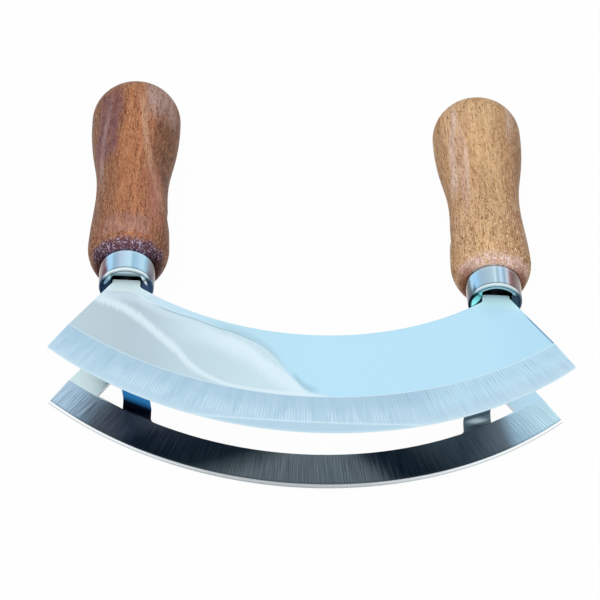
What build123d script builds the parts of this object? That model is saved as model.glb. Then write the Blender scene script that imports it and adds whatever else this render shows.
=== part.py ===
from build123d import *
from math import acos, atan2, cos, degrees, hypot, radians, sin, sqrt, tan
import os

# Double-bladed mezzaluna, in millimetres. Every piece is drawn in the blade frame: X runs along
# the blades, Y from the cutting edges to the tops of the handles, and Z out of the front blade's
# face. Y is zero at the lowest point of the edge, and Z is zero on the front face. At the end
# the whole tool is laid on its back, where it rests on the rear blade and both handles.

# Blade sheet and its outline
chord = 200.0
edge_radius = 151.0
spine_rise = 48.3
spine_radius = 112.0
sheet = 1.5
blade_gap = 31.1
shoulder_rise = 72.3
root_fillet = 2.0
tab_corner = 0.8

# Ground faces of both blades
bevel_rise = 16.6
bevel_radius = 148.0
bevel_land = 0.45
edge_land = 0.1
honed_width = 1.2
belly_width = 4.4
belly_land = 0.05
belly_span = 120.0
belly_shift = -7.0

# Rear blade: a band with two ears at its ends and two bent straps
band_rise = 15.4
band_radius = 139.0
ear_width = 13.5
ear_rise = 60.0
ear_corner = 1.5
strap_width = 11.0
strap_stand = 5.6
strap_fillet = 2.2
strap_bend_radius = 6.0
strap_bend_angle = 55.0
strap_skew_angle = 26.0
strap_foot_top = 75.0
weld_diameter = 3.6
weld_depth = 0.25
weld_drop = 3.0

# Where the handles stand, and what joins them to the blades
handle_spacing = 144.0
tab_width = 10.8
tab_reach = 2.1
tang_thickness = 2.5
tang_bottom = 62.0
tang_flat_top = 75.6
tang_neck = 3.0
spike_diameter = 6.0
spike_length = 58.0
spike_point = 9.0
spike_tip_diameter = 1.5
cement_wall = 1.0
cement_end = 2.0

# Ferrule
ferrule_bottom = 72.0
ferrule_length = 10.7
ferrule_mouth_diameter = 21.2
ferrule_top_diameter = 22.2
ferrule_wall = 1.0
ferrule_rim_radius = 0.7
ferrule_hole_corner = 1.5
ferrule_hole_side_clearance = 0.4
ferrule_hole_front_clearance = 4.2
spigot_length = 3.6
spigot_clearance = 0.05

# Turned wooden handle
handle_length = 104.2
shoulder_diameter = 24.0
bead_diameter = 32.0
waist_diameter = 29.0
bulb_diameter = 37.0
crown_radius = 30.0
crown_side_share = 0.825
bead_share = 0.10
waist_share = 0.38
shoulder_arc_share = 0.045
rise_shares = ((0.52, 0.14), (0.64, 0.62), (0.74, 0.91))

# How far cutting shapes run past what they cut
overrun = 5.0

half_chord = chord / 2
handle_x = handle_spacing / 2
tab_half = tab_width / 2
tab_top = ferrule_bottom + tab_reach
rear_front_z = -blade_gap
rear_back_z = -blade_gap - sheet
tang_front_z = -sheet
tang_back_z = tang_front_z - tang_thickness
foot_back_z = tang_back_z - sheet
axis_z = tang_front_z - tang_thickness / 2
handle_base = ferrule_bottom + ferrule_length
spigot_bottom = handle_base - spigot_length
handle_top = handle_base + handle_length


def arc_height(rise, radius, x):
    """Height at x of an arc whose lowest point stands at rise on the blade's centre line."""
    return rise + radius - sqrt(radius * radius - x * x)


def blade_arc(rise, radius, half):
    ends = arc_height(rise, radius, half)
    return ThreePointArc((-half, ends), (0, rise), (half, ends))


def both_sides(points):
    """Points of the right half, and their mirror images back down the left half."""
    return points, [(-x, y) for x, y in reversed(points)]


edge_tip = (half_chord, arc_height(0, edge_radius, half_chord))
shoulder = (handle_x + tab_half, shoulder_rise)
end_lean = atan2(edge_tip[0] - shoulder[0], shoulder[1] - edge_tip[1])


def region_below(line):
    """Face that reaches from a blade line down to a straight bottom below the cutting edge."""
    first = line @ 0
    last = line @ 1
    base = Polyline((first.X, first.Y), (first.X, -overrun), (last.X, -overrun), (last.X, last.Y))
    return make_face([line] + base.edges())


def ground_away(rise, radius, top_z, edge_z):
    """Cutter that grinds a ruled face from an arc at top_z to the cutting edge, and past it."""
    reach = half_chord + overrun
    low_z = edge_z - (top_z - edge_z) * sheet / rise
    top_face = Pos(0, 0, top_z) * region_below(blade_arc(rise, radius, reach))
    low_face = Pos(0, 0, low_z) * region_below(blade_arc(-sheet, edge_radius, reach))
    return loft([low_face, top_face], ruled=True) + extrude(top_face, sheet)


def bevel_z(rise):
    """Depth of the bevel below the front face, at a rise above the cutting edge."""
    return -(sheet - bevel_land) * (1 - rise / bevel_rise)


def grind(body, front_z):
    """Bevels a blade whose front face lies at front_z, and hones its edge."""
    bevel = ground_away(bevel_rise, bevel_radius, front_z, front_z + bevel_z(0))
    honed = ground_away(honed_width, edge_radius, front_z + bevel_z(honed_width),
                        front_z - sheet + edge_land)
    return body - bevel - honed


def belly_cutter():
    """Cutter of the wider face honed on the belly of the front blade, a little off its middle."""
    ends = [(x, arc_height(0, edge_radius, x))
            for x in (belly_shift - belly_span / 2, belly_shift + belly_span / 2)]
    middle = (belly_shift, arc_height(belly_width, edge_radius, belly_shift))
    top_z = bevel_z(belly_width)
    top_face = Pos(0, 0, top_z) * region_below(ThreePointArc(ends[0], middle, ends[1]))
    along = (0, -belly_width, belly_land - sheet - top_z)
    return extrude(top_face, sheet) + extrude(top_face, belly_width + overrun, dir=along)


def upright_edges(body, x, y, reach):
    """Edges along Z that stand within reach of a place on either half of the blade."""
    return [e for e in body.edges().filter_by(Axis.Z)
            if hypot(abs(e.center().X) - x, e.center().Y - y) < reach]


def front_blade():
    """Crescent blade with a tab at each end that reaches into the ferrule's mouth."""
    inner_x = handle_x - tab_half
    right, left = both_sides([edge_tip, shoulder, (shoulder[0], tab_top), (inner_x, tab_top),
                              (inner_x, arc_height(spine_rise, spine_radius, inner_x))])
    outline = [blade_arc(0, edge_radius, half_chord),
               blade_arc(spine_rise, spine_radius, inner_x)]
    outline += Polyline(*right).edges() + Polyline(*left).edges()
    body = extrude(make_face(outline), sheet, dir=(0, 0, -1))
    roots = upright_edges(body, *right[-1], tab_corner)
    body = fillet(roots, root_fillet)
    tops = [e for e in body.edges().filter_by(Axis.Z) if e.center().Y > tab_top - tab_corner]
    return grind(fillet(tops, tab_corner), 0) - belly_cutter()


def strap_drift():
    """Travel of the strap from bend to bend: outward, upward, and along the bend line's normal."""
    skew = radians(strap_skew_angle)
    bend = radians(strap_bend_angle)
    forward = blade_gap + tang_back_z
    along = forward / (cos(skew) * sin(bend))
    outward = along * sin(skew) * cos(skew) * (1 - cos(bend))
    upward = along * (cos(skew) ** 2 * cos(bend) + sin(skew) ** 2)
    return outward, upward, forward / tan(bend)


strap_outward, strap_upward, strap_normal_run = strap_drift()
strap_x = handle_x - strap_outward
strap_bend_rise = arc_height(band_rise, band_radius, strap_x) + strap_stand


def strap_side():
    """Side profile of the strap, bent forward and then upright again behind the tab."""
    half_turn = tan(radians(strap_bend_angle) / 2)
    reach = strap_foot_top
    inner = strap_bend_radius
    outer = strap_bend_radius + sheet
    points = [(-reach, rear_front_z), (0, rear_front_z), (strap_normal_run, tang_back_z),
              (reach, tang_back_z)]
    shifts = [0, sheet * half_turn, sheet * half_turn, 0]
    back = [(y + shift, z - sheet) for (y, z), shift in zip(points, shifts)]
    front_line = FilletPolyline(*points, radius=[inner, outer])
    back_line = FilletPolyline(*back, radius=[outer, inner])
    ends = [Line(front_line @ 0, back_line @ 0), Line(front_line @ 1, back_line @ 1)]
    return make_face(front_line.edges() + back_line.edges() + ends)


def strap():
    """The right strap: a skewed bend, trimmed to a strip that leans out to the tab."""
    bend_point = (strap_x, strap_bend_rise)
    skewed = Pos(*bend_point, 0) * Rot(0, 0, strap_skew_angle)
    bent_sheet = extrude(skewed * (Plane.YZ * strap_side()), handle_x, both=True)
    half = strap_width / 2
    slope = tan(radians(strap_skew_angle))
    low = arc_height(band_rise, band_radius, strap_x) - band_rise / 2
    lines = []
    for offset in (-half, half):
        x = strap_x + offset
        first = strap_bend_rise + offset * slope
        lines.append([(x, low), (x, first), (x + strap_outward, first + strap_upward),
                      (x + strap_outward, strap_foot_top)])
    strip = make_face(Polyline(*lines[0], *reversed(lines[1]), lines[0][0]).edges())
    depth = blade_gap + sheet
    return bent_sheet & extrude(strip, depth, dir=(0, 0, -1))


def band_and_ears():
    """Flat outline of the rear blade without its straps."""
    lean = (sin(end_lean), cos(end_lean))
    outer_run = (ear_rise - edge_tip[1]) / lean[1]
    outer_top = (edge_tip[0] - outer_run * lean[0], ear_rise)
    inner_top = (outer_top[0] - ear_width * lean[1], outer_top[1] - ear_width * lean[0])
    top_x = inner_top[0]
    depth = band_rise + band_radius - inner_top[1]
    half_run = top_x * lean[0] + depth * lean[1]
    run = sqrt(half_run ** 2 + band_radius ** 2 - top_x ** 2 - depth ** 2) - half_run
    inner_foot = (top_x + run * lean[0], inner_top[1] - run * lean[1])
    right, left = both_sides([edge_tip, outer_top, inner_top, inner_foot])
    outline = [blade_arc(0, edge_radius, half_chord),
               blade_arc(band_rise, band_radius, inner_foot[0])]
    outline += Polyline(*right).edges() + Polyline(*left).edges()
    return make_face(outline)


def weld_pit():
    """Round pit that the spot welder leaves on the back of a strap's foot."""
    place = Pos(handle_x, strap_foot_top - weld_drop, foot_back_z)
    return place * Cylinder(weld_diameter / 2, 2 * weld_depth)


def rear_blade():
    """Narrow blade behind the front one, with ears and with the straps that carry it."""
    flat = extrude(Pos(0, 0, rear_front_z) * band_and_ears(), sheet, dir=(0, 0, -1))
    tops = [e for e in flat.edges().filter_by(Axis.Z) if e.center().Y > ear_rise - ear_width]
    flat = fillet(tops, ear_corner)
    right = strap() - weld_pit()
    body = flat + right + mirror(right, Plane.YZ)
    inner_x = strap_x - strap_width / 2
    inner_y = arc_height(band_rise, band_radius, inner_x)
    body = fillet(upright_edges(body, inner_x, inner_y, sheet), strap_fillet)
    return grind(body, rear_front_z)


def at_handle(shape):
    """Places a shape drawn around the Y axis on the right handle's axis."""
    return Pos(handle_x, 0, axis_z) * shape


def turned(face):
    return at_handle(revolve(face, Axis.Y))


def tang():
    """Flat end between tab and strap, then a round spike with a point."""
    flat_height = tang_flat_top - tang_bottom
    middle = tang_bottom + flat_height / 2
    flat = Pos(0, middle, 0) * Box(tab_width, flat_height, tang_thickness)
    across = Plane(origin=(0, tang_flat_top, 0), x_dir=(1, 0, 0), z_dir=(0, 1, 0))
    spike_bottom = tang_flat_top + tang_neck
    upper = Plane(origin=(0, spike_bottom, 0), x_dir=(1, 0, 0), z_dir=(0, 1, 0))
    neck = loft([across * Rectangle(tab_width, tang_thickness), upper * Circle(spike_diameter / 2)])
    radius = spike_diameter / 2
    spike_top = spike_bottom + spike_length
    tip = spike_tip_diameter / 2
    half_section = Polyline((0, spike_bottom), (radius, spike_bottom),
                            (radius, spike_top - spike_point), (tip, spike_top), (0, spike_top),
                            (0, spike_bottom))
    spike = revolve(make_face(half_section.edges()), Axis.Y)
    return at_handle(flat + neck + spike)


bore_radius = spike_diameter / 2 + cement_wall
bore_top = tang_flat_top + tang_neck + spike_length + cement_end


def bore():
    depth = bore_top - spigot_bottom
    return at_handle(Pos(0, spigot_bottom + depth / 2, 0) * Rot(90, 0, 0)
                     * Cylinder(bore_radius, depth))


ferrule_mouth = ferrule_mouth_diameter / 2
ferrule_top = ferrule_top_diameter / 2


def ferrule_inner_radius(y):
    """Inner radius of the tapered ferrule at a height of the blade frame."""
    taper = (ferrule_top - ferrule_mouth) / ferrule_length
    return ferrule_mouth - ferrule_wall + taper * (y - ferrule_bottom)


def ferrule():
    """Slightly tapered sleeve, closed below but for a hole that lets tab, tang and strap in."""
    floor_y = ferrule_bottom + ferrule_wall
    section = Polyline((0, ferrule_bottom), (ferrule_mouth, ferrule_bottom),
                       (ferrule_top, handle_base), (ferrule_top - ferrule_wall, handle_base),
                       (ferrule_inner_radius(floor_y), floor_y), (0, floor_y), (0, ferrule_bottom))
    cup = revolve(make_face(section.edges()), Axis.Y)
    rim = cup.edges().filter_by(GeomType.CIRCLE).group_by(Axis.Y)[0]
    cup = fillet(rim, ferrule_rim_radius)
    width = max(tab_width, strap_width) + 2 * ferrule_hole_side_clearance
    depth = tang_thickness + 2 * (sheet + ferrule_hole_front_clearance)
    hole = extrude(Plane.XZ * RectangleRounded(width, depth, ferrule_hole_corner), overrun, both=True)
    inside = Rot(90, 0, 0) * Cylinder(ferrule_inner_radius(ferrule_bottom), ferrule_length)
    return at_handle(cup - Pos(0, ferrule_bottom, 0) * (hole & inside))


bulb_r = bulb_diameter / 2
crown_side_radius = crown_side_share * bulb_r
crown_height = crown_radius - sqrt((crown_radius - crown_side_radius) ** 2
                                   - (bulb_r - crown_side_radius) ** 2)
bulb_y = handle_top - crown_height


def handle_outline():
    """Half outline of the turned handle, from the ferrule to the crown."""
    shoulder_r = shoulder_diameter / 2
    bead_r = bead_diameter / 2
    waist_r = waist_diameter / 2
    bead_y = handle_base + bead_share * handle_length
    waist_y = handle_base + waist_share * handle_length
    swell = [(waist_r + part * (bulb_r - waist_r), handle_base + share * handle_length)
             for share, part in rise_shares]
    belly = Spline((bead_r, bead_y), (waist_r, waist_y), *swell, (bulb_r, bulb_y),
                   tangents=[(0, 1), (0, 1)])
    chamfer_y = handle_base + shoulder_arc_share * handle_length
    share = shoulder_arc_share / bead_share
    chamfer_r = shoulder_r + (bead_r - shoulder_r) * sqrt(share)
    lower = ThreePointArc((shoulder_r, handle_base), (chamfer_r, chamfer_y), (bead_r, bead_y))
    side_centre = (bulb_r - crown_side_radius, bulb_y)
    crown_centre = (0, handle_top - crown_radius)
    meet = atan2(side_centre[1] - crown_centre[1], side_centre[0] - crown_centre[0])
    joint = (crown_centre[0] + crown_radius * cos(meet), crown_centre[1] + crown_radius * sin(meet))
    middle = meet / 2
    side_point = (side_centre[0] + crown_side_radius * cos(middle),
                  side_centre[1] + crown_side_radius * sin(middle))
    side = ThreePointArc((bulb_r, bulb_y), side_point, joint)
    crown_middle = (meet + radians(90)) / 2
    crown_point = (crown_centre[0] + crown_radius * cos(crown_middle),
                   crown_centre[1] + crown_radius * sin(crown_middle))
    crown = ThreePointArc(joint, crown_point, (0, handle_top))
    return [lower, belly, side, crown]


def handle():
    """Turned wooden handle with a spigot for the ferrule and a blind bore for the spike."""
    top_r = ferrule_inner_radius(handle_base) - spigot_clearance
    bottom_r = ferrule_inner_radius(spigot_bottom) - spigot_clearance
    foot = Polyline((0, handle_top), (0, spigot_bottom), (bottom_r, spigot_bottom),
                    (top_r, handle_base), (shoulder_diameter / 2, handle_base))
    outline = foot.edges() + handle_outline()
    return turned(make_face(outline)) - bore()


def cement():
    """Cement that fills the bore around the spike."""
    return bore() - tang()


def resting_angle():
    """Angle by which the tool leans back, with both ears and both bulbs on the surface."""
    run = bulb_y - ear_rise
    rise = axis_z - (bulb_diameter / 2 - crown_side_radius) - rear_back_z
    span = hypot(run, rise)
    return degrees(acos(crown_side_radius / span) - atan2(run, rise))


right_pieces = {"tang": tang(), "cement": cement(), "ferrule": ferrule(), "handle": handle()}
pieces = {"front_blade": front_blade(), "rear_blade": rear_blade()}
for name, shape in right_pieces.items():
    pieces[name + "_right"] = shape
    pieces[name + "_left"] = mirror(shape, Plane.YZ)

leaning = {name: Rot(-resting_angle(), 0, 0) * shape for name, shape in pieces.items()}
box = Compound(list(leaning.values())).bounding_box()
to_floor = Pos(-box.center().X, -box.center().Y, -box.min.Z)

os.makedirs("parts", exist_ok=True)
for name, shape in leaning.items():
    export_step(to_floor * shape, "parts/" + name + ".step")
print("lean", round(resting_angle(), 3), "size", box.size)
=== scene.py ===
from math import cos, radians, sin

import bpy
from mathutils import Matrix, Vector

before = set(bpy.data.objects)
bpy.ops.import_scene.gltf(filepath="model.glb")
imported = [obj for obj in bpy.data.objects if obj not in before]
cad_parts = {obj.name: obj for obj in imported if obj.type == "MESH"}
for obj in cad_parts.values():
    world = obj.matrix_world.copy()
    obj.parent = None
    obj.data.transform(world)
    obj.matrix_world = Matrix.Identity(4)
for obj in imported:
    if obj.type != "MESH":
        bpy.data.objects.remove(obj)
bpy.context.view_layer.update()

# Camera: it looks down on the tool from the side of its cutting edges, 40 degrees off straight
# down, through a long lens that fills the picture as the photograph does.
camera_data = bpy.data.cameras.new("camera")
camera_data.lens = 124.94
camera_data.sensor_width = 36.0
camera = bpy.data.objects.new("camera", camera_data)
camera.location = (-0.05442, -0.5360, 0.65067)
camera.rotation_euler = (radians(39.5065), radians(-4.2225), radians(-0.4347))
bpy.context.scene.collection.objects.link(camera)
bpy.context.scene.camera = camera
bpy.context.scene.view_settings.view_transform = "Standard"

# Front blade: a crescent of polished stainless sheet, ground to a bevel on its front and honed at
# its edge. It is mirror-bright above the bevel, and the grinding wheel's lines cross the bevel.
blade_tilt = radians(-5.7844)
blade_start = (0.0, -0.09127, 0.03848)
edge_radius = 151.0
bevel_rise, bevel_radius = 16.6, 148.0


def shade(red, green, blue):
    """A colour written as it shows on screen, 0 to 255, in the values that materials take."""
    linear = [((v / 255 + 0.055) / 1.055) ** 2.4 if v > 10 else v / 255 / 12.92
              for v in (red, green, blue)]
    return (*linear, 1.0)


def add(tree, kind, inputs=None, **settings):
    """Adds a shader node. An input takes a value, or the socket that feeds it."""
    node = tree.nodes.new("ShaderNode" + kind)
    for name, value in settings.items():
        setattr(node, name, value)
    for key, value in (inputs or {}).items():
        if isinstance(value, bpy.types.NodeSocket):
            tree.links.new(value, node.inputs[key])
        else:
            node.inputs[key].default_value = value
    return node


def calc(tree, operation, *values):
    """Adds a sum or the like, and gives its result."""
    return add(tree, "Math", dict(enumerate(values)), operation=operation).outputs[0]


def rise(tree, value, low, high, first=0.0, last=1.0):
    """Goes smoothly from first to last as value goes from low to high."""
    return add(tree, "MapRange", {"Value": value, "From Min": low, "From Max": high,
                                  "To Min": first, "To Max": last},
               interpolation_type="SMOOTHSTEP").outputs[0]


def ridge(tree, value, low, first, last, high, amount=1.0):
    """A soft ridge: nothing at low and high, and the full amount from first to last."""
    return calc(tree, "MULTIPLY", rise(tree, value, low, first, 0.0, amount),
                rise(tree, value, last, high, 1.0, 0.0))


def tint(tree, amount, under, over, how="MIX"):
    """Lays one colour over another by amount."""
    return add(tree, "Mix", {0: amount, 6: under, 7: over}, data_type="RGBA",
               blend_type=how).outputs[2]


def colour_steps(tree, value, stops):
    """Colours that follow a value. Each stop is a value and the red, green and blue it shows."""
    low, high = stops[0][0], stops[-1][0]
    place = calc(tree, "DIVIDE", calc(tree, "SUBTRACT", value, low), high - low)
    node = add(tree, "ValToRGB", {0: place})
    ramp = node.color_ramp
    while len(ramp.elements) < len(stops):
        ramp.elements.new(1.0)
    for element, (at, *colour) in zip(ramp.elements, stops):
        element.position = (at - low) / (high - low)
        element.color = shade(*colour)
    return node.outputs[0]


def height_line(tree, across, points):
    """A line drawn through points: its height at each place across the blade."""
    low, high = points[0][0], points[-1][0]
    place = calc(tree, "DIVIDE", calc(tree, "SUBTRACT", across, low), high - low)
    node = add(tree, "FloatCurve", {"Value": place})
    curve = node.mapping.curves[0]
    tallest = 100.0
    while len(curve.points) < len(points):
        curve.points.new(0.5, 0.5)
    for point, (x, height) in zip(curve.points, points):
        point.location = ((x - low) / (high - low), height / tallest)
    node.mapping.update()
    return calc(tree, "MULTIPLY", node.outputs[0], tallest)


def noise_at(tree, place, scale=1.0, detail=2.0, roughness=0.5, distortion=0.0):
    """Noise at a place, which is a vector's socket or the parts of one by number."""
    if isinstance(place, dict):
        place = add(tree, "CombineXYZ", place).outputs[0]
    return add(tree, "TexNoise", {"Vector": place, "Scale": scale, "Detail": detail,
                                  "Roughness": roughness, "Distortion": distortion}).outputs[0]


def distance(tree, across, up):
    """How far off a place is, from how far across and up it is."""
    place = add(tree, "CombineXYZ", {0: across, 1: up}).outputs[0]
    return add(tree, "VectorMath", {0: place}, operation="LENGTH").outputs["Value"]


def in_millimetres(tree, vector):
    """The three parts of a vector that is in metres, each in millimetres."""
    parts = add(tree, "SeparateXYZ", {0: vector}).outputs
    return [calc(tree, "MULTIPLY", part, 1000.0) for part in parts]


def new_group(name, inputs, outputs):
    """Starts a node group. Gives its tree, what it is given, and where its results go."""
    group = bpy.data.node_groups.new(name, "ShaderNodeTree")
    for direction, sockets in (("INPUT", inputs), ("OUTPUT", outputs)):
        for title, kind in sockets:
            group.interface.new_socket(title, in_out=direction, socket_type="NodeSocket" + kind)
    return (group, group.nodes.new("NodeGroupInput").outputs,
            group.nodes.new("NodeGroupOutput").inputs)


def arc_above(tree, across, up, arc_rise, radius):
    """Height of a place above an arc of the blade, in millimetres."""
    drop = calc(tree, "SQRT", calc(tree, "SUBTRACT", radius * radius,
                                   calc(tree, "MULTIPLY", across, across)))
    return calc(tree, "ADD", calc(tree, "SUBTRACT", up, arc_rise + radius), drop)


# Where a point lies on either blade, in millimetres: across, up from the lowest point of the
# edge, out of the front face, above the edge, above the bevel's top, and around the edge. Front
# and Side say whether the surface faces that way.
blade_place, _, out = new_group("blade place", [], [
    ("Across", "Float"), ("Up", "Float"), ("Out", "Float"), ("Above edge", "Float"),
    ("Above bevel", "Float"), ("Around", "Float"), ("Front", "Float"), ("Side", "Float")])
tree = blade_place
coordinates = add(tree, "TexCoord")
laid = add(tree, "Mapping", {"Vector": coordinates.outputs["Object"], "Location": blade_start,
                             "Rotation": (blade_tilt, 0, 0)}, vector_type="TEXTURE")
across, up, outward = in_millimetres(tree, laid.outputs[0])
facing = add(tree, "VectorRotate", {"Vector": coordinates.outputs["Normal"],
                                    "Angle": -blade_tilt}, rotation_type="X_AXIS")
facing = add(tree, "SeparateXYZ", {0: facing.outputs[0]}).outputs
for socket, value in {
        "Across": across, "Up": up, "Out": outward,
        "Above edge": arc_above(tree, across, up, 0.0, edge_radius),
        "Above bevel": arc_above(tree, across, up, bevel_rise, bevel_radius),
        "Around": calc(tree, "MULTIPLY", edge_radius,
                       calc(tree, "ARCTAN2", across, calc(tree, "SUBTRACT", edge_radius, up))),
        "Front": rise(tree, facing[2], 0.4, 0.6),
        "Side": rise(tree, calc(tree, "ABSOLUTE", facing[0]), 0.7, 0.85)}.items():
    tree.links.new(value, out[socket])

# The wheel's lines: fine scratches straight up from the edge, in loose bundles, and even marks
# some 1.2 mm apart.
grinding, given, out = new_group(
    "grinding lines", [("Around", "Float"), ("Above edge", "Float")],
    [("Lines", "Float"), ("Bundles", "Float"), ("Marks", "Float")])
tree = grinding
leaning = calc(tree, "MULTIPLY", given["Above edge"], 0.035)
for socket, scale, lean, detail in (("Lines", 4.2, 1.8, 1.0), ("Bundles", 0.22, 1.6, 2.0)):
    scratches = noise_at(tree, {0: calc(tree, "MULTIPLY", given["Around"], scale),
                                1: calc(tree, "MULTIPLY", leaning, lean)}, 1.0, detail, 0.6)
    tree.links.new(rise(tree, scratches, 0.3, 0.7), out[socket])
turn_per_mm = 5.3
uneven_step = calc(tree, "MULTIPLY", noise_at(tree, {0: given["Around"]}, 0.3), 2.0)
turns = calc(tree, "MULTIPLY", calc(tree, "ADD", given["Around"], uneven_step), turn_per_mm)
tree.links.new(rise(tree, calc(tree, "SINE", turns), 0.1, 0.95), out["Marks"])

# Fine hairline scratches that polishing leaves on steel and plating, and smudges.
hairlines, _, out = new_group("hairlines", [], [("Scratches", "Float"), ("Smudges", "Float")])
tree = hairlines
coordinates = add(tree, "TexCoord").outputs["Object"]
for socket, scale, stretch, low, high in (("Scratches", 700.0, (1.0, 0.06, 1.0), 0.56, 0.75),
                                          ("Smudges", 22.0, (1.0, 1.0, 1.0), 0.35, 0.7)):
    place = add(tree, "Mapping", {"Vector": coordinates, "Scale": stretch,
                                  "Rotation": (0, 0, radians(24))})
    tree.links.new(rise(tree, noise_at(tree, place.outputs[0], scale), low, high), out[socket])


def empty_tree(owner):
    """The node tree of a material or a world, with nothing in it."""
    owner.use_nodes = True
    owner.node_tree.nodes.clear()
    return owner.node_tree


def new_material(name):
    """Starts a material. Gives it, its tree and its shader's inputs."""
    material = bpy.data.materials.new(name)
    tree = empty_tree(material)
    shader = add(tree, "BsdfPrincipled")
    add(tree, "OutputMaterial", {"Surface": shader.outputs[0]})
    return material, tree, shader.inputs


def place_group(tree, group, inputs=None):
    """Puts a node group into a tree, and gives its results."""
    return add(tree, "Group", inputs, node_tree=group).outputs


def dress(node, material):
    """Gives a CAD node its material."""
    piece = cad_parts[node]
    piece.data.materials.clear()
    piece.data.materials.append(material)


polished, tree, steel = new_material("polished blade steel")
spot = place_group(tree, blade_place)
wheel = place_group(tree, grinding, {"Around": spot["Around"], "Above edge": spot["Above edge"]})
polish = place_group(tree, hairlines)
across, up = spot["Across"], spot["Up"]
on_right = rise(tree, across, -1.0, 1.0)
# Bare polish, painted with the light blue of the sky it reflects, and darker along the right end,
# which leans inwards from the edge's tip
flat = colour_steps(tree, across, [
    (-100, 206, 231, 244), (-66, 205, 231, 245), (-50, 197, 228, 244), (-28, 188, 226, 243),
    (0, 187, 229, 249), (66, 187, 228, 249), (78, 182, 224, 246), (100, 181, 223, 245)])
tip_across, tip_up = 100.0, 37.9
end_lean = radians(33.24)
end_side = calc(tree, "ADD",
                calc(tree, "MULTIPLY", calc(tree, "SUBTRACT", across, tip_across), cos(end_lean)),
                calc(tree, "MULTIPLY", calc(tree, "SUBTRACT", up, tip_up), sin(end_lean)))
flat = tint(tree, rise(tree, end_side, -0.9, -0.5, 0.0, 0.8), flat, shade(96, 130, 164))
# Shoulders and tabs: satin, so they are lit evenly and aren't mirrors. Their light blue is a
# painted reflection of the sky, a little darker on the shoulders
shoulder = tint(tree, on_right, shade(206, 230, 242), shade(186, 230, 250))
tab_colour = tint(tree, on_right, shade(228, 250, 255), shade(204, 246, 255))
tab_colour = tint(tree, rise(tree, up, 64.0, 70.0), shoulder, tab_colour)
satin = rise(tree, up, 60.0, 65.5)
flat = tint(tree, satin, flat, tab_colour)
# A paler, greyer left part, with a crisp line where it ends
paler_line = height_line(tree, across, [
    (-100, 70), (-77.7, 68.2), (-68.7, 67.4), (-64.5, 63.8), (-58.6, 60.1), (-51.8, 56.8),
    (-44.2, 53.9), (-37.5, 50.6), (-30.3, 48.0), (-25.7, 45.6), (-20.8, 42.6), (-17.0, 38.8),
    (-7.0, 24.1), (-2.3, 18.8), (2.2, 17.5), (40, 4)])
below_paler_line = calc(tree, "SUBTRACT", paler_line, up)
paler_part = tint(tree, rise(tree, across, -20.0, -4.0), rise(tree, below_paler_line, -0.2, 0.3),
            rise(tree, below_paler_line, -1.6, 2.6))
pale = colour_steps(tree, across, [
    (-100, 192, 213, 223), (-84, 188, 208, 218), (-70, 184, 204, 214), (-60, 187, 208, 219),
    (-49, 194, 217, 228), (-35, 198, 222, 232), (-21, 203, 228, 238), (10, 204, 232, 245)])
# Painted shade above that line, then the paler part itself, and last a painted line on it, dark in
# the middle and light on the left, with a painted glow below it
edge_shade = calc(tree, "MULTIPLY", ridge(tree, below_paler_line, -5.0, -0.6, 0.0, 0.4, 0.5),
                  ridge(tree, across, -44.0, -28.0, -16.0, -8.0))
flat = tint(tree, edge_shade, flat, shade(166, 198, 215))
tail_shade = calc(tree, "MULTIPLY", ridge(tree, below_paler_line, -5.0, -1.6, -0.6, 0.3, 0.7),
                  ridge(tree, across, -9.5, -6.0, -2.5, 3.0))
flat = tint(tree, tail_shade, flat, shade(160, 198, 218))
flat = tint(tree, paler_part, flat, tint(tree, satin, pale, shade(202, 220, 230)))
painted_dark_line = calc(tree, "MULTIPLY", ridge(tree, below_paler_line, -0.4, -0.1, 0.15, 0.4, 0.6),
              ridge(tree, across, -66.0, -56.0, -30.0, -12.0))
flat = tint(tree, painted_dark_line, flat, shade(140, 170, 188))
painted_light_line = calc(tree, "MULTIPLY", ridge(tree, below_paler_line, -0.7, -0.2, 0.3, 0.9, 0.8),
                  rise(tree, across, -66.0, -56.0, 1.0, 0.0))
flat = tint(tree, painted_light_line, flat, shade(232, 245, 250))
flat = tint(tree, calc(tree, "MULTIPLY", ridge(tree, below_paler_line, 0.2, 1.0, 1.8, 6.0, 0.6),
                       rise(tree, across, -50.0, -30.0, 1.0, 0.0)), flat, shade(214, 234, 245))
# Two feathered, painted streaks of light cross the paler part
ragged = noise_at(tree, {0: calc(tree, "MULTIPLY", across, 1.1),
                         1: calc(tree, "MULTIPLY", up, 0.1)})
wander = calc(tree, "MULTIPLY", calc(tree, "SUBTRACT", ragged, 0.5), 3.2)
streaks = [
    ([(-100, 70), (-82.7, 64.1), (-75.8, 60.8), (-69.5, 56.4), (-63.6, 50.7), (-58.1, 44.6),
      (-51.3, 37.1), (-46.5, 30.2), (-38.9, 24.2), (-30.1, 20.3), (-18.5, 18.4), (40, 15)],
     (-4.2, -0.3, 0.7, 4.6), (-120.0, -100.0), 2.6, shade(221, 240, 249)),
    ([(-100, 60), (-58.4, 52.0), (-51.8, 49.4), (-42.3, 47.4), (-33.6, 43.3), (-25.6, 39.0),
      (-18.5, 31.7), (-9.2, 23.5), (-2.2, 18.8), (9.2, 17.4), (40, 16)],
     (-10.0, -0.4, 1.2, 6.0), (-64.0, -26.0), 1.0, shade(222, 242, 252))]
for points, width, start, narrower, colour in streaks:
    line = height_line(tree, across, points)
    from_line = calc(tree, "MULTIPLY", calc(tree, "SUBTRACT", up, line),
                     rise(tree, across, -50.0, -34.0, 1.0, narrower))
    from_line = calc(tree, "ADD", from_line, calc(
        tree, "MULTIPLY", wander, rise(tree, across, -52.0, -40.0, 1.0, narrower ** -2)))
    glow = calc(tree, "MULTIPLY", ridge(tree, from_line, *width, 0.9),
                calc(tree, "MULTIPLY", paler_part, rise(tree, across, *start)))
    flat = tint(tree, glow, flat, colour)
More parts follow.
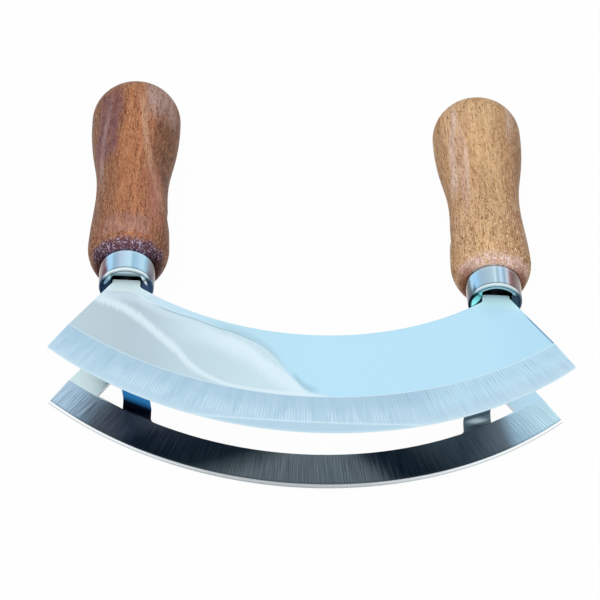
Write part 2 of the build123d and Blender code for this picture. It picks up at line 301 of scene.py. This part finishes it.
# Bevel, painted with the pale blue of the sky it reflects and lighter on its right, with the
# wheel's lines, a painted thin light line along its top, and a painted highlight on the honed edge
ground = colour_steps(tree, spot["Above edge"], [
    (0, 202, 229, 243), (3, 193, 221, 239), (7, 184, 216, 235), (12, 177, 209, 229),
    (17, 174, 205, 225)])
ground = tint(tree, calc(tree, "MULTIPLY", rise(tree, across, 34.0, 54.0),
                         rise(tree, spot["Above edge"], 3.0, 10.0)), ground, shade(196, 232, 250))
ground = tint(tree, calc(tree, "MULTIPLY", wheel["Lines"], 0.44), ground, shade(148, 183, 208))
ground = tint(tree, calc(tree, "MULTIPLY", wheel["Bundles"], 0.25), ground, shade(206, 233, 247))
# Even marks of the wheel: dark ones high on the right, light ones low and further left
marks = wheel["Marks"]
dark_marks = calc(tree, "MULTIPLY", ridge(tree, spot["Above edge"], 7.0, 13.5, 16.0, 16.8, 0.6),
                  calc(tree, "MULTIPLY", rise(tree, across, 8.0, 34.0),
                       rise(tree, wheel["Bundles"], 0.2, 0.7, 0.4, 1.0)))
ground = tint(tree, calc(tree, "MULTIPLY", marks, dark_marks), ground, shade(138, 174, 199))
light_marks = calc(tree, "MULTIPLY", ridge(tree, spot["Above edge"], 3.4, 4.6, 7.0, 12.0, 0.65),
                   ridge(tree, across, -104.0, -66.0, 16.0, 40.0))
light_marks = calc(tree, "MULTIPLY", light_marks, rise(tree, wheel["Bundles"], 0.2, 0.6))
ground = tint(tree, calc(tree, "MULTIPLY", marks, light_marks), ground, shade(216, 238, 249))
# Honed facet, wider on the belly, painted a slightly darker reflected blue, with a painted light
# line along its top
belly_middle, half_belly, belly_height = -2.0, 42.0, 4.5
belly = calc(tree, "DIVIDE", calc(tree, "SUBTRACT", across, belly_middle), half_belly)
belly_top = calc(tree, "MULTIPLY", calc(tree, "SUBTRACT", 1.0,
                                        calc(tree, "MULTIPLY", belly, belly)), belly_height)
above_belly = calc(tree, "SUBTRACT", spot["Above edge"], belly_top)
ground = tint(tree, rise(tree, above_belly, -0.2, 0.1, 0.8, 0.0), ground, shade(182, 213, 230))
ground = tint(tree, ridge(tree, above_belly, -0.5, -0.1, 0.3, 0.9, 0.55), ground,
              shade(214, 238, 249))
ground = tint(tree, rise(tree, spot["Above edge"], 0.2, 1.2, 0.5, 0.0), ground,
              shade(210, 236, 248))
on_bevel = rise(tree, spot["Above bevel"], -0.2, 0.0, 1.0, 0.0)
colour = tint(tree, on_bevel, flat, ground)
colour = tint(tree, ridge(tree, spot["Above bevel"], -0.4, -0.15, 0.1, 0.35, 0.7), colour,
              shade(208, 233, 245))
# The back and the rims are plain steel
colour = tint(tree, spot["Front"], shade(204, 211, 217), colour)
tree.links.new(colour, steel["Base Color"])
smooth = rise(tree, spot["Above bevel"], -0.2, 0.0, 0.3, 0.14)
tree.links.new(calc(tree, "MULTIPLY_ADD", polish["Smudges"], 0.05, smooth), steel["Roughness"])
tree.links.new(calc(tree, "SUBTRACT", 1.0, satin), steel["Metallic"])
scored = calc(tree, "MULTIPLY", wheel["Lines"], on_bevel)
bump = add(tree, "Bump", {"Strength": 0.15, "Distance": 0.0001, "Height": scored})
tree.links.new(bump.outputs[0], steel["Normal"])
dress("front_blade", polished)

# Rear blade: a narrow band of the same sheet with an ear at each end, and two straps bent forward
# out of it that carry it. It lies in the front blade's shade, so its colours are painted as darker
# steel.
shaded, tree, steel = new_material("shaded blade steel")
spot = place_group(tree, blade_place)
wheel = place_group(tree, grinding, {"Around": spot["Around"], "Above edge": spot["Above edge"]})
polish = place_group(tree, hairlines)
across, up = spot["Across"], spot["Up"]
on_right = rise(tree, across, -1.0, 1.0)
# Light and dark reflections along the band. They lean in towards the middle, and the wheel's
# lines fray them.
fan = calc(tree, "ADD", rise(tree, across, -90.0, -35.0, 0.3, 1.8),
           calc(tree, "ADD", rise(tree, across, -20.0, 20.0, 0.0, -2.7),
                rise(tree, across, 35.0, 78.0, 0.0, 0.7)))
waver = calc(tree, "MULTIPLY", calc(tree, "SUBTRACT", wheel["Lines"], 0.5), 3.0)
band_middle = 7.5
fanned = calc(tree, "SUBTRACT", calc(tree, "ADD", across, waver), calc(
    tree, "MULTIPLY", fan, calc(tree, "SUBTRACT", spot["Above edge"], band_middle)))
band = colour_steps(tree, fanned, [
    (-98, 204, 234, 254), (-90, 182, 212, 235), (-85, 146, 168, 184), (-80, 106, 112, 122),
    (-71, 102, 106, 115), (-64, 50, 60, 71), (-50, 24, 38, 52), (-37, 32, 45, 55),
    (-27, 94, 105, 110), (-16, 136, 145, 149), (12, 137, 147, 151), (22, 122, 132, 138),
    (28, 52, 66, 75), (33.5, 17, 33, 49), (43, 30, 46, 57), (60, 90, 104, 113),
    (76, 126, 139, 148), (80.5, 186, 221, 241), (98, 208, 243, 255)])
scratched = calc(tree, "MULTIPLY", wheel["Lines"], rise(tree, across, 60.0, 84.0, 0.8, 0.5))
band = tint(tree, scratched, band, shade(168, 178, 186), "MULTIPLY")
faint_grey = (0.014, 0.018, 0.022, 1)
band = tint(tree, calc(tree, "SUBTRACT", 0.9, wheel["Lines"]), band, faint_grey, "ADD")
band = tint(tree, calc(tree, "MULTIPLY", wheel["Marks"], 0.4), band, shade(190, 196, 200),
            "MULTIPLY")
# The ears: painted with the light blue of the sky they reflect
ear = tint(tree, on_right, shade(228, 252, 255), shade(184, 220, 240))
flat = tint(tree, rise(tree, calc(tree, "ABSOLUTE", across), 74.0, 80.0), band, ear)
# Foot of each strap, above the band: black on the left, with a soft highlight on the right
band_rise, band_radius = 15.4, 139.0
foot = calc(tree, "MULTIPLY", ridge(tree, calc(tree, "ABSOLUTE", across), 56.0, 58.0, 72.0, 74.0),
            rise(tree, arc_above(tree, across, up, band_rise, band_radius), -1.8, 1.4))
glow_across, glow_up = 64.2, 35.8
from_glow = distance(
    tree, calc(tree, "MULTIPLY", calc(tree, "SUBTRACT", across, glow_across), 0.15),
    calc(tree, "MULTIPLY", calc(tree, "SUBTRACT", up, glow_up), 0.5))
foot_right = tint(tree, rise(tree, from_glow, 0.0, 1.3, 1.0, 0.0), shade(122, 138, 146),
                  shade(244, 255, 255))
foot_colour = tint(tree, on_right, shade(14, 20, 32), foot_right)
flat = tint(tree, foot, flat, foot_colour)
on_band = rise(tree, spot["Above bevel"], -0.2, 0.0, 1.0, 0.0)
colour = tint(tree, on_band, flat, band)
# Honed edge: a painted white highlight, grey at its very edge, and with a dark line along its top
colour = tint(tree, ridge(tree, spot["Above edge"], 1.5, 1.8, 2.0, 2.6, 0.35), colour,
              shade(60, 76, 90))
colour = tint(tree, rise(tree, spot["Above edge"], 1.25, 1.6, 1.0, 0.0), colour,
              shade(255, 255, 255))
colour = tint(tree, rise(tree, spot["Above edge"], 0.35, 0.75, 1.0, 0.0), colour,
              shade(214, 223, 227))
# Straps, where they step forward out of the band: on the left painted with the deep blue of the
# sky they reflect, black towards the band, on the right slate with a painted highlight, and with
# painted light on their sides. Then the back and the rims
strap_left = colour_steps(tree, spot["Out"], [
    (-31, 14, 22, 36), (-30.7, 28, 58, 84), (-30.3, 36, 96, 146), (-29, 40, 114, 172),
    (-20, 44, 120, 180)])
strap_right = colour_steps(tree, spot["Out"], [
    (-31, 104, 120, 130), (-30.4, 70, 88, 100), (-29.4, 90, 112, 124), (-28.6, 140, 164, 176),
    (-27, 160, 182, 192), (-20, 160, 182, 192)])
strap = tint(tree, on_right, strap_left, strap_right)
strap = tint(tree, calc(tree, "MULTIPLY", spot["Side"], 0.8), strap, shade(196, 222, 238))
stepped_out = rise(tree, spot["Out"], -30.9, -30.2)
colour = tint(tree, stepped_out, colour, strap)
back = calc(tree, "SUBTRACT", 1.0, calc(tree, "MAXIMUM", spot["Front"], stepped_out))
colour = tint(tree, back, colour, shade(196, 203, 209))
tree.links.new(colour, steel["Base Color"])
tree.links.new(calc(tree, "MULTIPLY_ADD", polish["Smudges"], 0.05, 0.24), steel["Roughness"])
# The left ear is partly satin
left_ear = calc(tree, "MULTIPLY", rise(tree, across, -80.0, -76.0, 0.6, 0.0),
                calc(tree, "SUBTRACT", 1.0, on_band))
tree.links.new(calc(tree, "SUBTRACT", 1.0, left_ear), steel["Metallic"])
scored = calc(tree, "MULTIPLY", wheel["Lines"], on_band)
bump = add(tree, "Bump", {"Strength": 0.15, "Distance": 0.0001, "Height": scored})
tree.links.new(bump.outputs[0], steel["Normal"])
dress("rear_blade", shaded)

# Tangs: mild steel bars, flat between the blade's tab and the strap's foot and round in the
# handle. Only the flat ends show, deep in the ferrules' mouths.
bar_steel, tree, steel = new_material("bar steel")
polish = place_group(tree, hairlines)
tree.links.new(tint(tree, polish["Smudges"], shade(70, 78, 88), shade(110, 118, 126)),
               steel["Base Color"])
tree.links.new(rise(tree, polish["Scratches"], 0.0, 1.0, 0.34, 0.5), steel["Roughness"])
steel["Metallic"].default_value = 1.0
dress("tang_left", bar_steel)
dress("tang_right", bar_steel)

# Ferrules: short plated cups, a little wider at the wood. Their rounded lower end has a hole that
# lets the tab, the tang and the strap's foot in, and their inside is painted dark as shade.
handle_x = 0.072
handle_start = (-0.00927, 0.02741)
ferrule_flare = 0.047
# Painted reflections round the plated outside of each ferrule, and across its closed end
ferrule_bands = {
    -1: [(-110, 104, 76, 68), (-78, 134, 106, 102), (-63, 138, 116, 118), (-54, 106, 72, 84),
         (-49, 140, 138, 156), (-43, 166, 208, 240), (-34, 166, 216, 248), (-27, 146, 178, 206),
         (-20, 160, 188, 214), (-12, 180, 205, 226), (0, 188, 220, 240), (6, 190, 226, 243),
         (12, 152, 194, 216), (22, 163, 202, 232), (29, 180, 216, 236), (36, 174, 218, 240),
         (43, 148, 184, 206), (50, 134, 150, 162), (58, 122, 120, 126), (68, 90, 78, 82),
         (80, 48, 30, 34), (110, 96, 66, 56)],
    1: [(-110, 120, 92, 76), (-84, 116, 108, 108), (-74, 88, 92, 98), (-68, 92, 118, 132),
        (-62, 170, 216, 240), (-50, 158, 210, 250), (-42, 154, 196, 224), (-34, 156, 185, 206),
        (-20, 167, 195, 211), (-10, 178, 206, 220), (-6, 204, 232, 243), (-1, 156, 186, 202),
        (6, 193, 224, 246), (13, 142, 176, 196), (20, 200, 210, 224), (27, 150, 112, 116),
        (34, 116, 94, 92), (50, 128, 110, 106), (70, 150, 134, 126), (110, 120, 92, 76)]}
end_bands = {
    -1: [(-110, 30, 40, 52), (-78, 66, 92, 118), (-60, 150, 186, 210), (-48, 206, 220, 224),
         (0, 222, 230, 229), (40, 196, 210, 212), (56, 150, 176, 190), (72, 44, 60, 76),
         (110, 20, 26, 34)],
    1: [(-110, 30, 60, 72), (-92, 120, 244, 255), (-62, 140, 244, 255), (-50, 176, 200, 208),
        (0, 206, 222, 222), (38, 180, 196, 200), (54, 96, 116, 128), (70, 44, 54, 64),
        (110, 22, 28, 36)]}


def around_handle(tree, side):
    """Places in a handle's own axes: across, along and outward in millimetres, and the angle."""
    place = add(tree, "Mapping", {"Vector": add(tree, "TexCoord").outputs["Object"],
                                  "Location": (side * handle_x, *handle_start),
                                  "Rotation": (blade_tilt, 0, 0)}, vector_type="TEXTURE")
    x, along, z = in_millimetres(tree, place.outputs[0])
    return x, along, z, calc(tree, "DEGREES", calc(tree, "ARCTAN2", x, z))


# Ends: shade by the hole, shades of the two sides, and lights on the sides: each at across and
# outward, with its half width, half height, lean and colour.
end_shades = {
    -1: (shade(126, 146, 148), shade(44, 64, 92), shade(52, 76, 106), [
        (-7.3, 4.9, 0.9, 3.0, 0.37, shade(190, 226, 240)),
        (6.6, 5.6, 0.65, 3.4, -0.4, shade(240, 248, 250))]),
    1: (shade(8, 12, 16), shade(10, 22, 34), shade(72, 84, 98), [
        (-7.7, 1.9, 1.5, 4.6, 0.5, shade(150, 255, 255)),
        (7.0, 6.0, 0.9, 0.9, -0.5, shade(200, 226, 240))])}
for side, name in ((-1, "left"), (1, "right")):
    hole_shade, left_shade, right_shade, end_lights = end_shades[side]
    plated, tree, steel = new_material("plated ferrule " + name)
    x, along, z, angle = around_handle(tree, side)
    radius = distance(tree, x, z)
    polish = place_group(tree, hairlines)
    outside = colour_steps(tree, angle, ferrule_bands[side])
    # A painted lighter reflection towards the wood
    outside = tint(tree, rise(tree, along, -2.6, -0.6, 0.0, 0.3), outside, shade(214, 230, 240))
    end_face = colour_steps(tree, angle, end_bands[side])
    if side < 0:
        near_hole = rise(tree, z, 7.4, 8.8, 1.0, 0.0)
    else:
        near_hole = rise(tree, radius, 8.2, 8.7, 1.0, 0.0)
    near_hole = calc(tree, "MULTIPLY", near_hole, rise(tree, z, 2.0, 3.0))
    near_hole = calc(tree, "MULTIPLY", near_hole,
                     rise(tree, calc(tree, "ABSOLUTE", x), 5.8, 6.8, 1.0, 0.0))
    end_face = tint(tree, near_hole, end_face, hole_shade)
    sides = calc(tree, "MULTIPLY", rise(tree, calc(tree, "ABSOLUTE", x), 5.3, 6.0),
                 rise(tree, z, 3.8, 7.0, 1.0, 0.0))
    side_shade = tint(tree, rise(tree, x, -1.0, 1.0), left_shade, right_shade)
    end_face = tint(tree, sides, end_face, side_shade)
    for at_x, at_z, wide, high, lean, glow in end_lights:
        above = calc(tree, "SUBTRACT", z, at_z)
        aside = calc(tree, "SUBTRACT", calc(tree, "SUBTRACT", x, at_x),
                     calc(tree, "MULTIPLY", above, lean))
        reach = distance(tree, calc(tree, "DIVIDE", aside, wide),
                         calc(tree, "DIVIDE", above, high))
        lit = calc(tree, "MULTIPLY", rise(tree, reach, 0.7, 1.15, 1.0, 0.0),
                   rise(tree, radius, 9.3, 9.8, 1.0, 0.0))
        end_face = tint(tree, lit, end_face, glow)
    # A painted dark ring round the end's outer edge
    end_face = tint(tree, ridge(tree, radius, 9.1, 9.4, 9.6, 9.8, 0.8), end_face,
                    shade(30, 44, 58))
    # Outside: a painted dark line above the rim, painted dark corners and, on the left, a painted
    # maroon reflection
    outside = tint(tree, ridge(tree, along, -9.9, -9.6, -9.4, -9.0, 0.55), outside,
                   shade(58, 74, 88))
    to_either_side = calc(tree, "ABSOLUTE", angle)
    corner = calc(tree, "MULTIPLY", ridge(tree, to_either_side, 46.0, 58.0, 92.0, 110.0),
                  rise(tree, along, -10.0, -5.5, 0.75, 0.0))
    outside = tint(tree, corner, outside, shade(40, 54, 80))
    if side < 0:
        maroon = calc(tree, "MULTIPLY", ridge(tree, angle, -66.0, -58.0, -48.0, -40.0, 0.8),
                      ridge(tree, along, -10.0, -9.0, -7.5, -5.0))
        outside = tint(tree, maroon, outside, shade(96, 34, 52))
    # The closed end, the painted highlight of the bright rim around it, and the inside of the cup
    # painted dark as shade
    colour = tint(tree, rise(tree, along, -10.5, -10.1, 1.0, 0.0), outside, end_face)
    rim = calc(tree, "MULTIPLY", ridge(tree, along, -10.6, -10.4, -10.1, -9.8),
               rise(tree, to_either_side, 40.0, 62.0, 0.8, 0.1))
    colour = tint(tree, rim, colour, shade(236, 247, 250))
    wall = calc(tree, "SUBTRACT", radius, calc(tree, "MULTIPLY", along, ferrule_flare))
    hollow = calc(tree, "MULTIPLY", rise(tree, wall, 10.05, 10.4, 1.0, 0.0),
                  rise(tree, along, -10.68, -10.6))
    tree.links.new(tint(tree, hollow, colour, shade(6, 8, 10)), steel["Base Color"])
    tree.links.new(rise(tree, polish["Smudges"], 0.0, 1.0, 0.08, 0.16), steel["Roughness"])
    steel["Metallic"].default_value = 1.0
    dress("ferrule_" + name, plated)

# Cement: dark cutler's cement, run into each handle's bore around the tang's spike. It shows only
# as the floor of the ferrule's mouth.
set_cement, tree, coat = new_material("cutler's cement")
grit = noise_at(tree, add(tree, "TexCoord").outputs["Object"], 900.0, 4.0)
tree.links.new(tint(tree, grit, shade(44, 36, 30), shade(84, 72, 60)), coat["Base Color"])
coat["Roughness"].default_value = 0.9
bump = add(tree, "Bump", {"Strength": 0.4, "Distance": 0.0002, "Height": grit})
tree.links.new(bump.outputs[0], coat["Normal"])
dress("cement_left", set_cement)
dress("cement_right", set_cement)

# Handles: turned from open-pored hardwood and oiled. Grain runs along them with short dark pores
# and light flecks, and the left one is redder and patchy. The bead at the ferrule is stained.
wood, given, out = new_group("turned wood", [
    ("Across", "Float"), ("Along", "Float"), ("Outward", "Float"), ("Tone", "Color"),
    ("Light", "Color"), ("Dark", "Color"), ("Pore", "Color"), ("Speckle", "Float"),
    ("Seed", "Float")],
    [("Color", "Color"), ("Roughness", "Float"), ("Height", "Float")])
tree = wood


def grain(cross, length, detail, low, high, distortion=0.0):
    """Noise drawn out along the handle. cross and length are how fine it is, per millimetre."""
    drawn_out = noise_at(tree, {
        0: calc(tree, "ADD", calc(tree, "MULTIPLY", given["Across"], cross), given["Seed"]),
        1: calc(tree, "MULTIPLY", given["Along"], length),
        2: calc(tree, "MULTIPLY", given["Outward"], cross)}, 1.0, detail, 0.55, distortion)
    return rise(tree, drawn_out, low, high)


bands = grain(0.2, 0.012, 2.0, 0.35, 0.65, 0.8)
streaks = grain(0.75, 0.035, 3.0, 0.4, 0.7, 0.3)
fibres = grain(1.9, 0.12, 2.0, 0.35, 0.7)
pores = grain(2.4, 0.42, 2.0, 0.56, 0.67)
flecks = grain(2.0, 0.7, 2.0, 0.52, 0.68, 0.4)
colour = tint(tree, calc(tree, "MULTIPLY", bands, 0.35), given["Tone"], given["Dark"])
colour = tint(tree, calc(tree, "MULTIPLY", streaks, 0.65), colour, given["Dark"])
colour = tint(tree, calc(tree, "MULTIPLY", fibres, 0.4), colour, given["Light"])
speckle = calc(tree, "MULTIPLY", flecks, calc(tree, "MULTIPLY", given["Speckle"], 0.6))
colour = tint(tree, speckle, colour, given["Light"])
pitting = calc(tree, "MULTIPLY", pores, calc(tree, "MULTIPLY", given["Speckle"], 0.75))
colour = tint(tree, pitting, colour, given["Pore"])
tree.links.new(colour, out["Color"])
tree.links.new(rise(tree, streaks, 0.0, 1.0, 0.42, 0.56), out["Roughness"])
tree.links.new(calc(tree, "SUBTRACT", calc(tree, "MULTIPLY", fibres, 0.35), pores), out["Height"])

# Each wood: its tone around the handle, its own with painted shade on the sides, its light and
# dark grain, pores and patches, the pale pinkish-grey ones painted sheen, how flecked its lower
# half is, and the bead's stain, its least strength, its glints and how few they are. A patch has
# its colour, strength, reach across and along the handle, and slant.
handle_woods = {
    -1: dict(
        name="red wood", slot="red_wood", seed=3.7,
        tones_and_shade=[
            (-180, 130, 76, 52), (-100, 92, 52, 36), (-52, 114, 70, 56), (-28, 158, 98, 70),
            (-8, 200, 130, 90), (12, 198, 126, 90), (32, 160, 102, 78), (52, 104, 64, 50),
            (76, 78, 46, 36), (180, 130, 76, 52)],
        light=shade(218, 164, 122), dark=shade(104, 58, 42), pore=shade(66, 38, 32),
        patches=[
            ((112, 76, 92), 0.9, (-17.0, -14.0, -8.5, -5.0), (50.0, 60.0, 84.0, 96.0), 0.0),
            ((188, 160, 158), 0.5, (-13.5, -12.8, -11.8, -11.0), (36.0, 50.0, 76.0, 88.0), 0.0),
            ((96, 66, 56), 0.55, (6.0, 9.0, 16.0, 20.0), (34.0, 56.0, 88.0, 98.0), 0.0),
            ((206, 164, 136), 0.7, (3.4, 4.8, 5.8, 7.4), (22.0, 32.0, 76.0, 90.0), 0.185),
            ((188, 120, 104), 0.6, (3.0, 6.0, 9.0, 12.0), (10.0, 20.0, 40.0, 52.0), 0.05),
            ((186, 158, 152), 0.9, (1.0, 5.0, 13.0, 17.0), (70.0, 84.0, 105.0, 109.0), 0.0),
            ((178, 144, 132), 0.6, (-12.0, -6.0, 2.0, 6.0), (92.0, 98.0, 106.0, 110.0), 0.0),
            ((184, 138, 130), 0.75, (-12.0, -8.0, 6.0, 9.0), (5.0, 7.0, 12.0, 18.0), 0.0)],
        lower_flecks=0.9, stain=shade(68, 46, 68), least=0.8, glint=shade(214, 198, 222),
        dull=0.52),
    1: dict(
        name="golden wood", slot="golden_wood", seed=41.3,
        tones_and_shade=[
            (-180, 184, 136, 90), (-100, 156, 106, 64), (-70, 194, 144, 100), (-48, 234, 186, 144),
            (-28, 226, 178, 132), (-8, 228, 184, 134), (12, 218, 174, 126), (32, 184, 136, 96),
            (52, 146, 100, 66), (76, 116, 76, 48), (180, 184, 136, 90)],
        light=shade(244, 210, 168), dark=shade(144, 96, 60), pore=shade(120, 82, 56),
        patches=[
            ((240, 210, 196), 0.8, (-13.8, -12.9, -11.8, -10.4), (40.0, 52.0, 84.0, 96.0), 0.0),
            ((222, 180, 162), 0.7, (-10.8, -9.8, -8.8, -7.8), (24.0, 40.0, 70.0, 84.0), 0.0),
            ((232, 202, 186), 0.7, (-8.4, -7.8, -7.2, -6.4), (34.0, 46.0, 62.0, 76.0), 0.0),
            ((210, 182, 172), 0.55, (8.6, 10.2, 12.2, 14.0), (68.0, 79.0, 95.0, 104.0), 0.0),
            ((222, 180, 136), 0.6, (4.6, 5.2, 5.8, 6.6), (20.0, 30.0, 60.0, 80.0), 0.0),
            ((122, 82, 56), 0.5, (12.0, 15.0, 19.0, 22.0), (40.0, 56.0, 76.0, 88.0), 0.0),
            ((220, 202, 188), 0.5, (-12.0, -6.0, 12.0, 17.0), (94.0, 99.0, 106.0, 110.0), 0.0)],
        lower_flecks=1.7, stain=shade(206, 162, 146), least=0.3, glint=shade(250, 230, 224),
        dull=0.48)}
for side, node in ((-1, "handle_left"), (1, "handle_right")):
    kind = handle_woods[side]
    turned, tree, coat = new_material(kind["name"])
    x, along, z, angle = around_handle(tree, side)
    to_either_side = calc(tree, "ABSOLUTE", angle)
    tone = colour_steps(tree, angle, kind["tones_and_shade"])
    lively = calc(tree, "ADD", rise(tree, along, 12.0, 56.0, kind["lower_flecks"], 0.8),
                  rise(tree, along, 60.0, 100.0, 0.0, 0.3))
    blotch = noise_at(tree, {0: x, 1: calc(tree, "MULTIPLY", along, 0.3), 2: z}, 0.45, 4.0, 0.65)
    uneven = rise(tree, blotch, 0.3, 0.6, 0.35, 1.0)
    upper = rise(tree, z, 0.0, 6.0)
    drift = noise_at(tree, {0: calc(tree, "MULTIPLY", along, 0.03), 1: kind["seed"]}, 1.0, 1.0)
    lane = calc(tree, "ADD", x, calc(tree, "MULTIPLY", calc(tree, "SUBTRACT", drift, 0.5), 5.0))
    # Patches, in the tone under the grain and then again on the grain that stands out. The pale
    # pinkish-grey ones are painted sheen
    waist = 60.0
    patches = []
    for shown, strength, wide, long, slant in kind["patches"]:
        mark = shade(*shown)
        placed = calc(tree, "ADD", lane, calc(
            tree, "MULTIPLY", calc(tree, "SUBTRACT", along, waist), slant))
        amount = calc(tree, "MULTIPLY", ridge(tree, placed, *wide, strength),
                      ridge(tree, along, *long))
        amount = calc(tree, "MULTIPLY", amount, calc(tree, "MULTIPLY", uneven, upper))
        tone = tint(tree, amount, tone, mark)
        patches.append((amount, mark))
    body = place_group(tree, wood, {
        "Across": x, "Along": along, "Outward": z, "Tone": tone, "Light": kind["light"],
        "Dark": kind["dark"], "Pore": kind["pore"], "Speckle": lively, "Seed": kind["seed"]})
    colour = body["Color"]
    raised = rise(tree, body["Height"], -0.3, 0.35, 0.1, 0.75)
    for amount, mark in patches:
        colour = tint(tree, calc(tree, "MULTIPLY", amount, raised), colour, mark)
    # Bead: a ragged stain with painted glints in it, a painted shadow where it meets the ferrule,
    # and the wood inside the ferrule painted black as shade
    edge = calc(tree, "ADD", along, calc(tree, "MULTIPLY", blotch, -5.0))
    bead = calc(tree, "MULTIPLY", rise(tree, edge, -0.6, 3.4, 1.0, 0.0),
                rise(tree, to_either_side, 62.0, 96.0, 1.0, 0.2))
    ragged = calc(tree, "MULTIPLY", bead, rise(tree, blotch, 0.36, 0.6, kind["least"], 0.9))
    colour = tint(tree, ragged, colour, kind["stain"])
    glints = noise_at(tree, {0: x, 1: calc(tree, "MULTIPLY", along, 0.7), 2: z}, 1.3, 3.0, 0.75)
    sparkle = calc(tree, "MULTIPLY", bead,
                   rise(tree, glints, kind["dull"], kind["dull"] + 0.12))
    colour = tint(tree, calc(tree, "MULTIPLY", sparkle, 0.85), colour, kind["glint"])
    sunk = calc(tree, "MULTIPLY", rise(tree, along, 0.4, 3.6, 0.75, 0.0),
                rise(tree, to_either_side, 26.0, 66.0))
    colour = tint(tree, sunk, colour, kind["dark"], "MULTIPLY")
    colour = tint(tree, rise(tree, along, -1.4, -0.8, 1.0, 0.0), colour, shade(8, 7, 8))
    tree.links.new(colour, coat["Base Color"])
    tree.links.new(body["Roughness"], coat["Roughness"])
    coat["Specular IOR Level"].default_value = 0.05
    bump = add(tree, "Bump", {"Strength": 0.5, "Distance": 0.00025, "Height": body["Height"]})
    tree.links.new(bump.outputs[0], coat["Normal"])
    dress(node, turned)

# Floor: a plain white sheet, wide enough for every view. It shows white to the camera and in
# the metal, and keeps a soft shadow of the tool.
floor_half, floor_z = 6.0, -0.0002


def in_sight(tree):
    """Whether the camera sees something, straight or in metal, and is not just lit by it."""
    rays = add(tree, "LightPath").outputs
    return calc(tree, "MAXIMUM", rays["Is Camera Ray"], rays["Is Glossy Ray"])


floor_mesh = bpy.data.meshes.new("floor")
corners = [(floor_half * x, floor_half * y, floor_z)
           for x, y in ((-1, -1), (1, -1), (1, 1), (-1, 1))]
floor_mesh.from_pydata(corners, [], [(0, 1, 2, 3)])
floor = bpy.data.objects.new("floor", floor_mesh)
bpy.context.scene.collection.objects.link(floor)
white = bpy.data.materials.new("white floor")
tree = empty_tree(white)
matt = add(tree, "BsdfDiffuse", {"Color": (0.85, 0.85, 0.85, 1)})
glowing = add(tree, "Emission", {"Color": (1, 1, 1, 1), "Strength": 1.0})
mixed = add(tree, "MixShader", {0: calc(tree, "MULTIPLY", in_sight(tree), 0.97),
                                1: matt.outputs[0], 2: glowing.outputs[0]})
add(tree, "OutputMaterial", {"Surface": mixed.outputs[0]})
floor_mesh.materials.append(white)

# Light: an even, slightly cool sky, and two large soft lamps above the tool. The camera and the
# metal see the sky as plain white.
world = bpy.data.worlds.new("soft sky")
tree = empty_tree(world)
open_sky = add(tree, "Background", {"Color": (0.93, 0.97, 1.0, 1), "Strength": 0.55})
white_sky = add(tree, "Background", {"Color": (1, 1, 1, 1), "Strength": 1.0})
sky_mix = add(tree, "MixShader", {0: in_sight(tree), 1: open_sky.outputs[0],
                                  2: white_sky.outputs[0]})
add(tree, "OutputWorld", {"Surface": sky_mix.outputs[0]})
bpy.context.scene.world = world
for name, place, power in (("key lamp", (-0.5, -0.75, 1.1), 10.6),
                           ("fill lamp", (0.75, -0.3, 1.05), 4.0)):
    lamp_data = bpy.data.lights.new(name, "AREA")
    lamp_data.shape = "DISK"
    lamp_data.size = 1.6
    lamp_data.energy = power
    lamp = bpy.data.objects.new(name, lamp_data)
    lamp.location = place
    lamp.visible_glossy = False
    lamp.rotation_euler = (-Vector(place)).to_track_quat("-Z", "Y").to_euler()
    bpy.context.scene.collection.objects.link(lamp)
